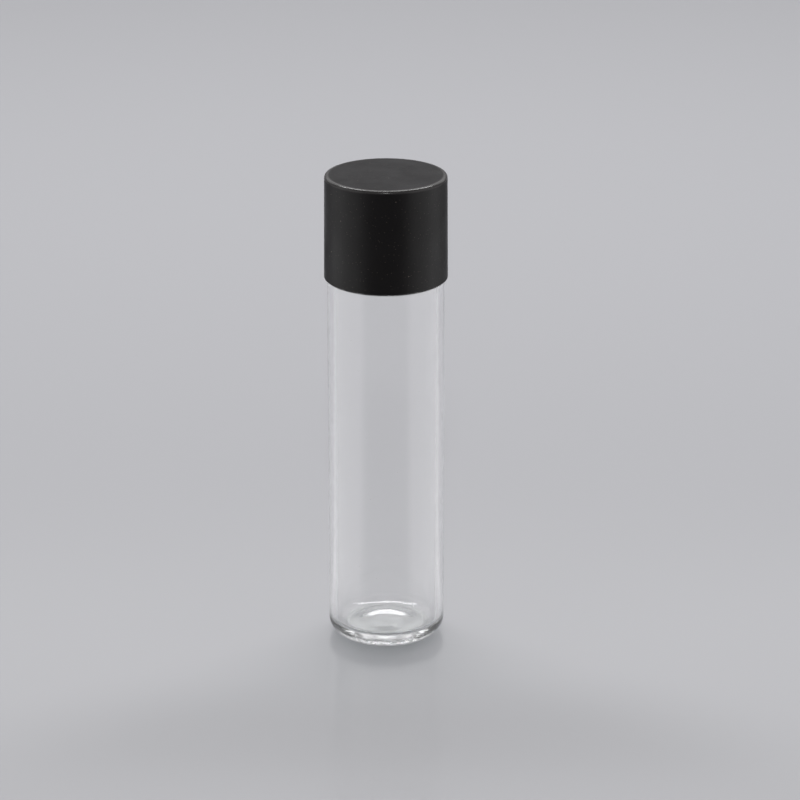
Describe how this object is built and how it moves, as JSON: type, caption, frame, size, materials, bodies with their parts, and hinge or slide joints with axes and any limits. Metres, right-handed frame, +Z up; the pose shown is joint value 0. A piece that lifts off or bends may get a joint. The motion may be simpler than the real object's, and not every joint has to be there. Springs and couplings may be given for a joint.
{
  "type": "glass sample vial",
  "caption": "Clear glass sample vial with a round heel, a push-up base and a threaded neck, closed by a tall smooth black screw cap that holds a soft sealing liner.",
  "frame": {"origin": "centre of the foot, on the plane that the vial stands on", "axes": "+Z up along the vial's axis, towards the cap; X and Y level"},
  "size_m": [0.0178, 0.0178, 0.0704],
  "materials": {
    "clear_glass": "clear, smooth drawn tube with a fire-polished rim",
    "black_plastic": "satin moulded plastic with a fine grain",
    "white_foam": "matt foamed polyethylene sheet"
  },
  "bodies": {
    "vial": {"glass_vial": "clear_glass"},
    "liner": {"cap_liner": "white_foam"},
    "cap": {"screw_cap": "black_plastic"}
  },
  "joints": [
    {"name": "cap_lift", "type": "slide", "parent": "vial", "child": "liner", "axis": [0, 0, 1], "range_m": [0, 0.00363]},
    {"name": "cap_turn", "type": "hinge", "parent": "liner", "child": "cap", "pos_m": [0, 0, 0.0684], "axis": [0, 0, 1], "range_deg": [0, 720]}
  ],
  "couplings": [
    {"joint": "cap_turn", "follows": "cap_lift", "rad_per_m": 3463.7}
  ]
}
